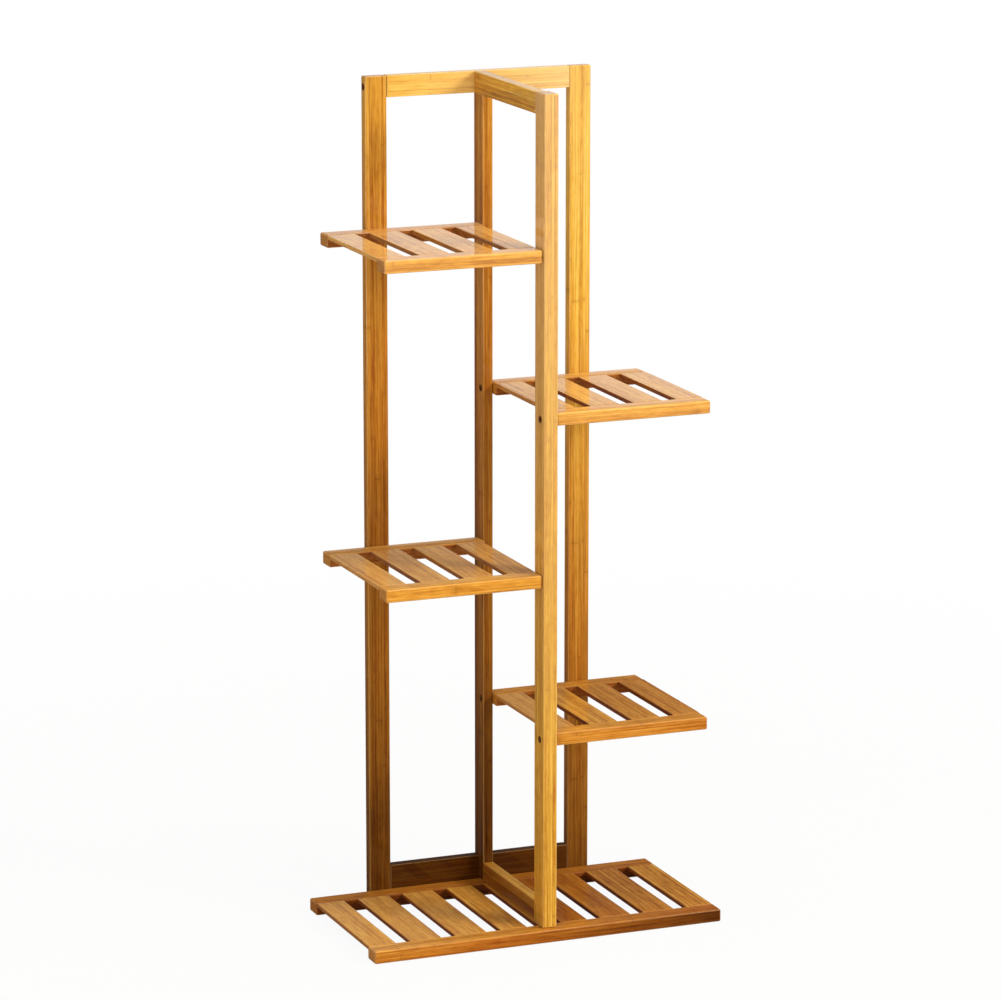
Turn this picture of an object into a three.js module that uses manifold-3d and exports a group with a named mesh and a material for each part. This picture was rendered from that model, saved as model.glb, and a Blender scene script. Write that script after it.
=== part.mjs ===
// Tiered plant stand of laminated bamboo: a slatted base, a rear frame, a dividing frame
// with a front and a middle upright, and four slatted shelves that hang off the divider
// by turns to the left and to the right.
//
// Millimetres. +X is to the right, +Y to the back, +Z up. The origin is on the floor,
// under the middle of the stand's box.

import * as THREE from 'three';
import { mergeVertices } from 'three/addons/utils/BufferGeometryUtils.js';
import Module from 'manifold-3d';

const wasm = await Module();
wasm.setup();

// ---- Driving dimensions -------------------------------------------------------------

const HEIGHT = 980;
const BASE_WIDTH = 430;
const BASE_DEPTH = 220;

// Line left open between two boards that touch.
const JOINT_GAP = 0.3;

// Rails of the base and the shelves, and the slats that lie flush with their tops.
const RAIL_TALL = 15;
const RAIL_DEEP = 24;
const SLAT_THICK = 5;
const OUTER_SLAT_WIDE = 33;
const BASE_INNER_SLAT_WIDE = 38.5;
const SHELF_INNER_SLAT_WIDE = 35.5;
const CENTRE_SLAT_WIDE = 17;
const BASE_END_MARGIN = 1;

// Slats of the base keep clear of the divider between these two lines.
const BASE_LEFT_GROUP_END = -20;
const BASE_RIGHT_GROUP_START = 22.5;

// Hidden tenon on each slat's end, and the mortise around it.
const TENON_LONG = 5;
const TENON_THICK = 2.4;
const TENON_LIFT = 0.6;
const TENON_SHOULDER = 3;

// Rear frame: two uprights that reach the floor, with rails between them.
const REAR_THICK = 12.5;
const REAR_UPRIGHT_WIDE = 26.5;
const REAR_UPRIGHT_OUTER = 139.5;
const TOP_RAIL_TALL = 25;
const REAR_BOTTOM_RAIL_LOW = 10;
const REAR_BOTTOM_RAIL_TOP = 43;

// Divider: front upright, middle upright and the two rails between them.
const DIVIDER_X = 2.5;
const FRONT_UPRIGHT_WIDE = 17;
const FRONT_UPRIGHT_DEEP = 28;
const FRONT_UPRIGHT_SETBACK = 8;
const MIDDLE_UPRIGHT_WIDE = 12.5;
const MIDDLE_UPRIGHT_DEEP = 28;
const CENTRE_RAIL_THICK = 13;
const CENTRE_BOTTOM_RAIL_TALL = 22.7;

// Shelves, from the top one down. A side of -1 is left of the divider, 1 is right.
const SHELF_LONG = 189;
const SHELF_FRONT = 11;
const SHELF_TOPS = [805, 618.5, 432, 245.5];
const SHELF_SIDES = [-1, 1, -1, 1];

// Wood screws with their heads sunk in counterbores.
const SCREW_LONG = 35;
const SCREW_SHORT = 25;
const SHANK_RADIUS = 1.8;
const HEAD_RADIUS = 3.8;
const HEAD_TALL = 2.4;
const RECESS_RADIUS = 1.7;
const RECESS_DEEP = 1.3;
const TIP_LONG = 4;
const COUNTERBORE_RADIUS = 4.3;
const COUNTERBORE_DEEP = 4.5;
const SHELF_SCREW_SETBACK = 12;
const ROUND_SIDES = 12;

// Eased edges: the radius along a board's length and the chamfer at its ends.
const RAIL_ROUND = 2.2;
const RAIL_END_EASE = 1.8;
const UPRIGHT_ROUND = 1.6;
const UPRIGHT_END_EASE = 1.2;
const SLAT_ROUND = 0.9;
const SLAT_END_EASE = 0.5;

// Axis numbers, for the direction in which a board runs.
const X = 0;
const Y = 1;
const Z = 2;

const AXIS_VECTORS = [
  new THREE.Vector3(1, 0, 0),
  new THREE.Vector3(0, 1, 0),
  new THREE.Vector3(0, 0, 1),
];

// ---- Places worked out from the driving dimensions ----------------------------------
// Depths are measured from the base's front face until the whole stand is centred.

const BASE_HALF = BASE_WIDTH / 2;
const REAR_FRONT_FACE = BASE_DEPTH + JOINT_GAP;
const REAR_BACK_FACE = REAR_FRONT_FACE + REAR_THICK;
const ON_BASE = RAIL_TALL + JOINT_GAP;

const FRONT_UPRIGHT_LEFT = DIVIDER_X - FRONT_UPRIGHT_WIDE / 2;
const FRONT_UPRIGHT_RIGHT = DIVIDER_X + FRONT_UPRIGHT_WIDE / 2;
const FRONT_UPRIGHT_BACK = FRONT_UPRIGHT_SETBACK + FRONT_UPRIGHT_DEEP;

// The middle upright's right face is in line with the front upright's.
const MIDDLE_UPRIGHT_LEFT = FRONT_UPRIGHT_RIGHT - MIDDLE_UPRIGHT_WIDE;
const MIDDLE_UPRIGHT_RIGHT = FRONT_UPRIGHT_RIGHT;
const MIDDLE_UPRIGHT_FRONT = REAR_BACK_FACE - MIDDLE_UPRIGHT_DEEP;

const TOP_RAIL_BOTTOM = HEIGHT - TOP_RAIL_TALL;
const REAR_RAIL_HALF = REAR_UPRIGHT_OUTER - REAR_UPRIGHT_WIDE - JOINT_GAP;

// ---- Materials ----------------------------------------------------------------------

const BAMBOO_ROUGHNESS = 0.32;
const RAIL_COLOUR = 0xd79a4c;
const SLAT_COLOUR = 0xdfa95f;
const UPRIGHT_COLOUR = 0xdc9f50;
const STEEL_COLOUR = 0x6b6259;

function bamboo(colour) {
  return new THREE.MeshStandardMaterial({
    color: colour,
    roughness: BAMBOO_ROUGHNESS,
    metalness: 0,
  });
}

function steel() {
  return new THREE.MeshStandardMaterial({
    color: STEEL_COLOUR,
    roughness: 0.4,
    metalness: 1,
  });
}

// ---- Solids -------------------------------------------------------------------------

function solidOf(geometry) {
  const bare = geometry.index ? geometry.clone() : geometry;
  bare.deleteAttribute('normal');
  bare.deleteAttribute('uv');
  const merged = mergeVertices(bare);
  return new wasm.Manifold(new wasm.Mesh({
    numProp: 3,
    vertProperties: new Float32Array(merged.attributes.position.array),
    triVerts: new Uint32Array(merged.index.array),
  }));
}

function geometryOf(solid) {
  const mesh = solid.getMesh();
  const geometry = new THREE.BufferGeometry();
  geometry.setAttribute('position', new THREE.BufferAttribute(mesh.vertProperties, 3));
  geometry.setIndex(new THREE.BufferAttribute(mesh.triVerts, 1));
  geometry.computeVertexNormals();
  return geometry;
}

function shape(geometry, added, removed) {
  let solid = solidOf(geometry);
  for (const extra of added) {
    solid = solid.add(solidOf(extra));
  }
  for (const hole of removed) {
    solid = solid.subtract(solidOf(hole));
  }
  return geometryOf(solid);
}

// Cross-section of a board with its four corners rounded.
function roundedSection(wide, tall, radius) {
  const right = wide / 2 - radius;
  const top = tall / 2 - radius;
  const quarter = Math.PI / 2;
  const outline = new THREE.Shape();
  outline.absarc(right, -top, radius, -quarter, 0);
  outline.absarc(right, top, radius, 0, quarter);
  outline.absarc(-right, top, radius, quarter, 2 * quarter);
  outline.absarc(-right, -top, radius, 2 * quarter, 3 * quarter);
  return outline;
}

// A board from its low corner to its high corner, with its grain and its length on one axis.
function board(low, high, along, round, endEase) {
  const axes = [(along + 1) % 3, (along + 2) % 3, along];
  const [wide, tall, long] = axes.map((axis) => high[axis] - low[axis]);
  const geometry = new THREE.ExtrudeGeometry(roundedSection(wide, tall, round), {
    depth: long - 2 * endEase,
    curveSegments: 1,
    bevelSegments: 1,
    bevelThickness: endEase,
    bevelSize: endEase,
    bevelOffset: -endEase,
  });
  geometry.translate(0, 0, endEase - long / 2);
  const turned = axes.map((axis) => AXIS_VECTORS[axis]);
  geometry.applyMatrix4(new THREE.Matrix4().makeBasis(...turned));
  geometry.translate(...low.map((value, axis) => (value + high[axis]) / 2));
  return geometry;
}

function block(low, high) {
  const size = low.map((value, axis) => high[axis] - value);
  const geometry = new THREE.BoxGeometry(...size);
  geometry.translate(...low.map((value, axis) => (value + high[axis]) / 2));
  return geometry;
}

// Turns a form whose axis is +Y so that it points into the wood from a point on its face.
function aim(geometry, start, into) {
  const turn = new THREE.Quaternion().setFromUnitVectors(AXIS_VECTORS[Y], into);
  geometry.applyQuaternion(turn);
  geometry.translate(start.x, start.y, start.z);
  return geometry;
}

function bore(radius, start, end, screw) {
  const geometry = new THREE.CylinderGeometry(radius, radius, end - start, ROUND_SIDES);
  geometry.translate(0, (start + end) / 2, 0);
  return aim(geometry, screw.start, screw.into);
}

// ---- Screws -------------------------------------------------------------------------
// Each starts on the face where its counterbore opens, and goes into the wood.

const INTO = {
  left: new THREE.Vector3(-1, 0, 0),
  right: new THREE.Vector3(1, 0, 0),
  front: new THREE.Vector3(0, -1, 0),
  up: new THREE.Vector3(0, 0, 1),
};

function shelfScrews(shelf) {
  const side = SHELF_SIDES[shelf];
  const height = SHELF_TOPS[shelf] - RAIL_TALL / 2;
  const towards = side < 0 ? INTO.left : INTO.right;
  const name = `shelf_${shelf + 1}`;
  const frontFace = side < 0 ? FRONT_UPRIGHT_RIGHT : FRONT_UPRIGHT_LEFT;
  const middleFace = side < 0 ? MIDDLE_UPRIGHT_RIGHT : MIDDLE_UPRIGHT_LEFT;
  const outerCentre = side * (REAR_UPRIGHT_OUTER - REAR_UPRIGHT_WIDE / 2);
  const frontDepth = FRONT_UPRIGHT_SETBACK + SHELF_SCREW_SETBACK;
  const middleDepth = (MIDDLE_UPRIGHT_FRONT + BASE_DEPTH) / 2;
  return [
    {
      name: `${name}_front_screw`,
      start: new THREE.Vector3(frontFace, frontDepth, height),
      into: towards,
      long: SCREW_LONG,
    },
    {
      name: `${name}_middle_screw`,
      start: new THREE.Vector3(middleFace, middleDepth, height),
      into: towards,
      long: SCREW_LONG,
    },
    {
      name: `${name}_rear_screw`,
      start: new THREE.Vector3(outerCentre, REAR_BACK_FACE, height),
      into: INTO.front,
      long: SCREW_SHORT,
    },
  ];
}

function frameScrews() {
  const upright = REAR_UPRIGHT_OUTER - REAR_UPRIGHT_WIDE / 2;
  const rearMiddle = (REAR_FRONT_FACE + REAR_BACK_FACE) / 2;
  const topRailMiddle = HEIGHT - TOP_RAIL_TALL / 2;
  const footDepth = (FRONT_UPRIGHT_SETBACK + RAIL_DEEP) / 2;
  const list = [];
  for (const [word, side, towards] of [['left', -1, INTO.right], ['right', 1, INTO.left]]) {
    list.push({
      name: `rear_foot_screw_${word}`,
      start: new THREE.Vector3(side * upright, REAR_BACK_FACE, RAIL_TALL / 2),
      into: INTO.front,
      long: SCREW_SHORT,
    });
    list.push({
      name: `rear_top_screw_${word}`,
      start: new THREE.Vector3(side * REAR_UPRIGHT_OUTER, rearMiddle, topRailMiddle),
      into: towards,
      long: SCREW_LONG,
    });
  }
  list.push({
    name: 'front_foot_screw',
    start: new THREE.Vector3(DIVIDER_X, footDepth, 0),
    into: INTO.up,
    long: SCREW_LONG,
  });
  return list;
}

const SCREWS = [...SHELF_TOPS.keys()].flatMap(shelfScrews).concat(frameScrews());

// Counterbore and pilot hole of one screw, as the two bodies to cut away.
function screwHoles(screw) {
  const open = 1;
  const bottom = COUNTERBORE_DEEP;
  const end = bottom + screw.long + JOINT_GAP;
  return [
    bore(COUNTERBORE_RADIUS, -open, bottom, screw),
    bore(SHANK_RADIUS + JOINT_GAP, -open, end, screw),
  ];
}

function screwBody(screw) {
  const seat = COUNTERBORE_DEEP - JOINT_GAP;
  const top = seat - HEAD_TALL;
  const tip = seat + screw.long;
  const profile = [
    new THREE.Vector2(0, top + RECESS_DEEP),
    new THREE.Vector2(RECESS_RADIUS, top),
    new THREE.Vector2(HEAD_RADIUS, top),
    new THREE.Vector2(HEAD_RADIUS, seat),
    new THREE.Vector2(SHANK_RADIUS, seat),
    new THREE.Vector2(SHANK_RADIUS, tip - TIP_LONG),
    new THREE.Vector2(0, tip),
  ];
  const lathe = new THREE.LatheGeometry(profile, ROUND_SIDES);
  return aim(geometryOf(solidOf(lathe)), screw.start, screw.into);
}

const SCREW_HOLES = SCREWS.flatMap(screwHoles);

function holesThrough(geometry) {
  geometry.computeBoundingBox();
  return SCREW_HOLES.filter((hole) => {
    hole.computeBoundingBox();
    return hole.boundingBox.intersectsBox(geometry.boundingBox);
  });
}

// ---- Pieces -------------------------------------------------------------------------

// Adds a piece to its group, with its own centre as the mesh's place.
function place(group, name, geometry, material) {
  geometry.computeBoundingBox();
  const centre = geometry.boundingBox.getCenter(new THREE.Vector3());
  geometry.translate(-centre.x, -centre.y, -centre.z);
  const mesh = new THREE.Mesh(geometry, material);
  mesh.name = name;
  mesh.position.copy(centre);
  group.add(mesh);
}

function placeUpright(group, name, low, high, cuts) {
  const geometry = board(low, high, Z, UPRIGHT_ROUND, UPRIGHT_END_EASE);
  const removed = cuts.concat(holesThrough(geometry));
  place(group, name, shape(geometry, [], removed), bamboo(UPRIGHT_COLOUR));
}

function placeFrameRail(group, name, low, high, along) {
  const geometry = board(low, high, along, UPRIGHT_ROUND, UPRIGHT_END_EASE);
  place(group, name, shape(geometry, [], holesThrough(geometry)), bamboo(UPRIGHT_COLOUR));
}

// Widths and left edges of the four slats that fill a span, with equal gaps between them.
function slatLayout(start, end, innerWide) {
  const widths = [OUTER_SLAT_WIDE, innerWide, innerWide, OUTER_SLAT_WIDE];
  const filled = widths.reduce((sum, width) => sum + width, 0);
  const gap = (end - start - filled) / (widths.length - 1);
  let left = start;
  return widths.map((width) => {
    const slat = { left, right: left + width };
    left += width + gap;
    return slat;
  });
}

// The body of a tenon (grow = 0) or of its mortise (grow = the joint gap).
// It reaches from a line inside the slat to its tip beyond the slat's end.
function tenon(slat, inside, tip, top, grow) {
  const low = top - SLAT_THICK + TENON_LIFT;
  const towards = Math.sign(tip - inside);
  const ends = [inside, tip + towards * grow];
  return block(
    [slat.left + TENON_SHOULDER - grow, Math.min(...ends), low - grow],
    [slat.right - TENON_SHOULDER + grow, Math.max(...ends), low + TENON_THICK + grow],
  );
}

// A slatted deck: a front and a rear rail, with slats let into both by hidden tenons.
function placeDeck(group, name, deck) {
  const { front, back, top, slats } = deck;
  const frontInner = front + RAIL_DEEP;
  const rearInner = back - RAIL_DEEP;
  const inside = 2;
  const rails = [
    ['front_rail', front, frontInner, deck.frontRail, frontInner - TENON_LONG],
    ['rear_rail', rearInner, back, deck.rearRail, rearInner + TENON_LONG],
  ];
  for (const [word, near, far, ends, tip] of rails) {
    const low = [ends[0], near, top - RAIL_TALL];
    const high = [ends[1], far, top];
    const geometry = board(low, high, X, RAIL_ROUND, RAIL_END_EASE);
    const mouth = near === front ? frontInner + inside : rearInner - inside;
    const mortises = slats.map((slat) => tenon(slat, mouth, tip, top, JOINT_GAP));
    const removed = mortises.concat(holesThrough(geometry));
    place(group, `${name}_${word}`, shape(geometry, [], removed), bamboo(RAIL_COLOUR));
  }
  slats.forEach((slat, index) => {
    const low = [slat.left, frontInner + JOINT_GAP, top - SLAT_THICK];
    const high = [slat.right, rearInner - JOINT_GAP, top];
    const geometry = board(low, high, Y, SLAT_ROUND, SLAT_END_EASE);
    const tenons = [
      tenon(slat, low[Y] + inside, frontInner - TENON_LONG, top, 0),
      tenon(slat, high[Y] - inside, rearInner + TENON_LONG, top, 0),
    ];
    place(group, `${name}_slat_${index + 1}`, shape(geometry, tenons, []), bamboo(SLAT_COLOUR));
  });
}

function makeBase() {
  const group = new THREE.Group();
  const start = BASE_END_MARGIN - BASE_HALF;
  const end = BASE_HALF - BASE_END_MARGIN;
  const centreSlat = {
    left: DIVIDER_X - CENTRE_SLAT_WIDE / 2,
    right: DIVIDER_X + CENTRE_SLAT_WIDE / 2,
  };
  placeDeck(group, 'base', {
    front: 0,
    back: BASE_DEPTH,
    top: RAIL_TALL,
    frontRail: [-BASE_HALF, BASE_HALF],
    rearRail: [-BASE_HALF, BASE_HALF],
    slats: [
      ...slatLayout(start, BASE_LEFT_GROUP_END, BASE_INNER_SLAT_WIDE),
      centreSlat,
      ...slatLayout(BASE_RIGHT_GROUP_START, end, BASE_INNER_SLAT_WIDE),
    ],
  });
  return group;
}

// The front rail's inner end meets the front upright. The rear rail's meets the middle
// upright, which is thinner, so that a left shelf's rear rail reaches a little further.
function makeShelf(shelf) {
  const group = new THREE.Group();
  const side = SHELF_SIDES[shelf];
  const frontInner = side < 0 ? FRONT_UPRIGHT_LEFT - JOINT_GAP : FRONT_UPRIGHT_RIGHT + JOINT_GAP;
  const rearInner = side < 0 ? MIDDLE_UPRIGHT_LEFT - JOINT_GAP : MIDDLE_UPRIGHT_RIGHT + JOINT_GAP;
  const outer = frontInner + side * SHELF_LONG;
  const ascending = (a, b) => a - b;
  const span = [frontInner, outer].sort(ascending);
  placeDeck(group, `shelf_${shelf + 1}`, {
    front: SHELF_FRONT,
    back: BASE_DEPTH,
    top: SHELF_TOPS[shelf],
    frontRail: span,
    rearRail: [rearInner, outer].sort(ascending),
    slats: slatLayout(...span, SHELF_INNER_SLAT_WIDE),
  });
  return group;
}

function makeRearFrame() {
  const group = new THREE.Group();
  const inner = REAR_UPRIGHT_OUTER - REAR_UPRIGHT_WIDE;
  placeUpright(
    group,
    'rear_upright_left',
    [-REAR_UPRIGHT_OUTER, REAR_FRONT_FACE, 0],
    [-inner, REAR_BACK_FACE, HEIGHT],
    [],
  );
  placeUpright(
    group,
    'rear_upright_right',
    [inner, REAR_FRONT_FACE, 0],
    [REAR_UPRIGHT_OUTER, REAR_BACK_FACE, HEIGHT],
    [],
  );
  placeFrameRail(
    group,
    'rear_top_rail',
    [-REAR_RAIL_HALF, REAR_FRONT_FACE, TOP_RAIL_BOTTOM],
    [REAR_RAIL_HALF, REAR_BACK_FACE, HEIGHT],
    X,
  );
  placeFrameRail(
    group,
    'rear_bottom_rail',
    [-REAR_RAIL_HALF, REAR_FRONT_FACE, REAR_BOTTOM_RAIL_LOW],
    [REAR_RAIL_HALF, REAR_BACK_FACE, REAR_BOTTOM_RAIL_TOP],
    X,
  );
  return group;
}

// The middle upright stands on the base's rear rail and is notched over the rear frame's
// bottom rail, so that its back is flush with the frame's.
function makeDivider() {
  const group = new THREE.Group();
  const margin = 5;
  const notch = block(
    [MIDDLE_UPRIGHT_LEFT - margin, BASE_DEPTH, 0],
    [MIDDLE_UPRIGHT_RIGHT + margin, REAR_BACK_FACE + margin, REAR_BOTTOM_RAIL_TOP + JOINT_GAP],
  );
  placeUpright(
    group,
    'front_upright',
    [FRONT_UPRIGHT_LEFT, FRONT_UPRIGHT_SETBACK, ON_BASE],
    [FRONT_UPRIGHT_RIGHT, FRONT_UPRIGHT_BACK, HEIGHT],
    [],
  );
  placeUpright(
    group,
    'middle_upright',
    [MIDDLE_UPRIGHT_LEFT, MIDDLE_UPRIGHT_FRONT, ON_BASE],
    [MIDDLE_UPRIGHT_RIGHT, REAR_BACK_FACE, TOP_RAIL_BOTTOM - JOINT_GAP],
    [notch],
  );
  placeFrameRail(
    group,
    'centre_top_rail',
    [FRONT_UPRIGHT_LEFT, FRONT_UPRIGHT_BACK + JOINT_GAP, TOP_RAIL_BOTTOM],
    [FRONT_UPRIGHT_LEFT + CENTRE_RAIL_THICK, BASE_DEPTH, HEIGHT],
    Y,
  );
  placeFrameRail(
    group,
    'centre_bottom_rail',
    [FRONT_UPRIGHT_RIGHT - CENTRE_RAIL_THICK, FRONT_UPRIGHT_BACK + JOINT_GAP, ON_BASE],
    [FRONT_UPRIGHT_RIGHT, MIDDLE_UPRIGHT_FRONT - JOINT_GAP, ON_BASE + CENTRE_BOTTOM_RAIL_TALL],
    Y,
  );
  return group;
}

function makeScrews() {
  const group = new THREE.Group();
  for (const screw of SCREWS) {
    place(group, screw.name, screwBody(screw), steel());
  }
  return group;
}

// ---- The stand ----------------------------------------------------------------------

const stand = new THREE.Group();
stand.add(makeBase());
stand.add(makeRearFrame());
stand.add(makeDivider());
for (const shelf of SHELF_TOPS.keys()) {
  stand.add(makeShelf(shelf));
}
stand.add(makeScrews());
stand.position.y = -REAR_BACK_FACE / 2;

export default stand;
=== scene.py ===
"""A tiered plant stand of laminated bamboo under clear gloss lacquer, in a pale studio.

Every board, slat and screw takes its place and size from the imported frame. Lengths named
in millimetres are turned to metres with MM.
"""

import math

import bpy
import bmesh
from mathutils import Matrix, Vector


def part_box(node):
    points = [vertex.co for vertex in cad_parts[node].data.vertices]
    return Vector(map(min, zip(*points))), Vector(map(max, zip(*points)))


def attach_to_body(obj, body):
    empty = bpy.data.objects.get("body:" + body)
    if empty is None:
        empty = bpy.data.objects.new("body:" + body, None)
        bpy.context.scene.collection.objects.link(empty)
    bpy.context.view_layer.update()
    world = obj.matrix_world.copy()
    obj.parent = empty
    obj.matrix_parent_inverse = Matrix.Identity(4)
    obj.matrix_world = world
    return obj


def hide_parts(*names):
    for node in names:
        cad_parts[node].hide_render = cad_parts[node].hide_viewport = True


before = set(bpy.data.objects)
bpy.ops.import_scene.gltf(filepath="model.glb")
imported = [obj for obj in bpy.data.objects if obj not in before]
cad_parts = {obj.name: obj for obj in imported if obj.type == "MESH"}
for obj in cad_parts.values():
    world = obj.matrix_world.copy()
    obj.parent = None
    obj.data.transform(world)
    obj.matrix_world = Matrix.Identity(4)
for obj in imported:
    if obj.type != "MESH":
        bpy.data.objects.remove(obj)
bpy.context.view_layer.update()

MM = 0.001
X, Y, Z = Vector((1, 0, 0)), Vector((0, 1, 0)), Vector((0, 0, 1))

# ---- Sizes --------------------------------------------------------------------------

JOINT_GAP = 0.3 * MM
SLAT_THICK = 5 * MM

RAIL_EDGE = 2.0 * MM
UPRIGHT_EDGE = 1.5 * MM
CROSS_RAIL_EDGE = 0.8 * MM
SLAT_EDGE = 0.8 * MM
EDGE_STEPS = 2
RIM_EASE = 0.3 * MM
SHARP_ANGLE = math.radians(35)
RIM_ANGLE = math.radians(60)

COUNTERBORE_RADIUS = 4.3 * MM
COUNTERBORE_DEEP = 4.5 * MM
PILOT_RADIUS = 2.1 * MM
HOLE_SIDES = 48
WELD = 0.001 * MM

HEAD_RADIUS = 3.8 * MM
HEAD_TALL = 2.4 * MM
HEAD_EASE = 0.5 * MM
SHANK_RADIUS = 1.8 * MM
SCREW_TIP = 4 * MM
SCREW_SIDES = 32
RECESS_LONG = 4.4 * MM
RECESS_WIDE = 1.1 * MM
RECESS_DEEP = 1.6 * MM

# Bamboo, as it is split and glued up: thin strips face to face, each one culm wall wide.
STRIP_THICK = 5.2 * MM
STRIP_WIDE = 20 * MM
GLUE_HALF = 0.7 * MM
NODE_SPACING = 290 * MM
FIBRE_WIDE = 0.7 * MM
FIBRE_LONG = 70 * MM
STREAK_WIDE = 2.6 * MM
STREAK_LONG = 190 * MM
MOTTLE_WIDE = 4 * MM
MOTTLE_LONG = 18 * MM
VEIN_WIDE = 1.3 * MM
VEIN_LONG = 110 * MM
PORE_WIDE = 0.9 * MM
TORN_WIDE = 0.5 * MM
TORN_LONG = 1.2 * MM
GRIME_WIDE = 1.5 * MM
NODE_WOBBLE = 1.16 * MM

# Where the strips lie: how far each board's are shifted, and how uneven they are.
BOARD_STAGGER = 0.618
STRIP_UNEVEN = 1.6
UNEVEN_SCALE = 0.6
STRIP_SHIFT = (9, 9, 9)

# How strongly each mark shows in the wood, from 0 to 1.
VEIN_IN_DARK_BOARDS = 0.62
VEIN_IN_PALE_BOARDS = 0.22
NODE_LINE = 0.22
NODE_BAND = 0.10
# Pale boards go lighter partly as painted light on their upper parts.
PALE_BOARD = 0.6
# Rounded edges go lighter partly as wear and partly as a painted highlight.
PALE_EDGE = 0.20
# Painted shade: a deep brown on the sides in the gaps and other shaded sides.
SHADED_SIDE_DARKNESS = 0.95


# ---- Helpers ------------------------------------------------------------------------

def linear(hex_colour):
    """An sRGB hex colour as linear RGBA."""
    channels = [int(hex_colour[i:i + 2], 16) / 255 for i in (1, 3, 5)]
    curved = [c / 12.92 if c <= 0.04045 else ((c + 0.055) / 1.055) ** 2.4 for c in channels]
    return (*curved, 1.0)


def add(tree, kind, inputs=None, stops=(), **settings):
    """Adds a node with its settings, its links and a colour ramp's (position, hex) stops.

    An input is a value, a socket, or a node that stands for its first output.
    """
    node = tree.nodes.new(kind)
    for name, value in settings.items():
        setattr(node, name, value)
    for socket, value in (inputs or {}).items():
        if isinstance(value, bpy.types.Node):
            value = value.outputs[0]
        if isinstance(value, bpy.types.NodeSocket):
            tree.links.new(value, node.inputs[socket])
        else:
            node.inputs[socket].default_value = value
    for index, (position, colour) in enumerate(stops):
        elements = node.color_ramp.elements
        element = elements[index] if index < 2 else elements.new(position)
        element.position = position
        element.color = linear(colour)
    return node


def new_object(name, mesh):
    obj = bpy.data.objects.new(name, mesh)
    bpy.context.scene.collection.objects.link(obj)
    return obj


def settle(obj):
    """Turns an object and its live modifiers into a plain mesh at the origin."""
    bpy.context.view_layer.update()
    depsgraph = bpy.context.evaluated_depsgraph_get()
    mesh = bpy.data.meshes.new_from_object(
        obj.evaluated_get(depsgraph), preserve_all_data_layers=True, depsgraph=depsgraph)
    obj.modifiers.clear()
    obj.data = mesh
    mesh.name = obj.name
    return obj


# ---- Material parts -----------------------------------------------------------------

def new_material(name):
    material = bpy.data.materials.new(name)
    material.use_nodes = True
    material.node_tree.nodes.clear()
    return material, material.node_tree


def strip_lots(tree, across, through, seed):
    """A random lot for each glued strip, and how close a point is to a glue line."""
    stagger = add(tree, "ShaderNodeMath", {0: seed, 1: BOARD_STAGGER}, operation="MULTIPLY")
    even = add(tree, "ShaderNodeMath", {0: across, 1: 1 / STRIP_THICK, 2: stagger},
               operation="MULTIPLY_ADD")
    uneven = add(tree, "ShaderNodeTexNoise", {
        "W": even, "Scale": UNEVEN_SCALE, "Detail": 0.0,
    }, noise_dimensions="1D").outputs["Fac"]
    place = add(tree, "ShaderNodeMath", {0: uneven, 1: STRIP_UNEVEN, 2: even},
                operation="MULTIPLY_ADD")
    layer = add(tree, "ShaderNodeMath", {0: place}, operation="FLOOR")
    wall_place = add(tree, "ShaderNodeMath", {0: through, 1: 1 / STRIP_WIDE, 2: stagger},
                     operation="MULTIPLY_ADD")
    wall = add(tree, "ShaderNodeMath", {0: wall_place}, operation="FLOOR")
    strip = add(tree, "ShaderNodeCombineXYZ", {0: layer, 1: wall, 2: seed})
    lot = add(tree, "ShaderNodeTexWhiteNoise", {0: strip}, noise_dimensions="3D")
    turn = add(tree, "ShaderNodeMath", {0: place}, operation="FRACT")
    past_middle = add(tree, "ShaderNodeMath", {0: turn, 1: 0.5}, operation="SUBTRACT")
    from_middle = add(tree, "ShaderNodeMath", {0: past_middle}, operation="ABSOLUTE")
    glue = add(tree, "ShaderNodeMapRange", {
        "Value": from_middle, "From Min": 0.5 - GLUE_HALF / STRIP_THICK, "From Max": 0.5,
    }, interpolation_type="SMOOTHSTEP")
    return lot, glue


def drawn_out(tree, place, shift, long, wide, detail):
    """Noise stretched along the board and different in each strip.

    It seldom leaves its middle third, which is spread over 0 to 1.
    """
    stretched = add(tree, "ShaderNodeVectorMath", {
        0: place, 1: (1 / long, 1 / wide, 1 / wide), 2: shift,
    }, operation="MULTIPLY_ADD")
    noise = add(tree, "ShaderNodeTexNoise", {
        "Vector": stretched, "Scale": 1.0, "Detail": detail, "Roughness": 0.58,
    })
    return add(tree, "ShaderNodeMapRange", {
        "Value": noise.outputs["Fac"], "From Min": 0.33, "From Max": 0.67,
    })


def culm_nodes(tree, along, lot, fibre):
    """Nodes of the culm: a thin dark line across each strip, within a soft brown band."""
    start = add(tree, "ShaderNodeMath", {0: along, 1: 1 / NODE_SPACING, 2: lot},
                operation="MULTIPLY_ADD")
    wobbled = add(tree, "ShaderNodeMath", {0: fibre, 1: NODE_WOBBLE / NODE_SPACING, 2: start},
                  operation="MULTIPLY_ADD")
    turn = add(tree, "ShaderNodeMath", {0: wobbled}, operation="FRACT")
    past_middle = add(tree, "ShaderNodeMath", {0: turn, 1: 0.5}, operation="SUBTRACT")
    far = add(tree, "ShaderNodeMath", {0: past_middle}, operation="ABSOLUTE")
    line, band = [
        add(tree, "ShaderNodeMapRange", {
            "Value": far, "From Min": full / NODE_SPACING, "From Max": none / NODE_SPACING,
            "To Min": strength, "To Max": 0.0,
        }, interpolation_type="SMOOTHSTEP")
        for full, none, strength in ((0.5 * MM, 1.8 * MM, NODE_LINE), (0.0, 9 * MM, NODE_BAND))
    ]
    return add(tree, "ShaderNodeMath", {0: line, 1: band}, operation="ADD")


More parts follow.
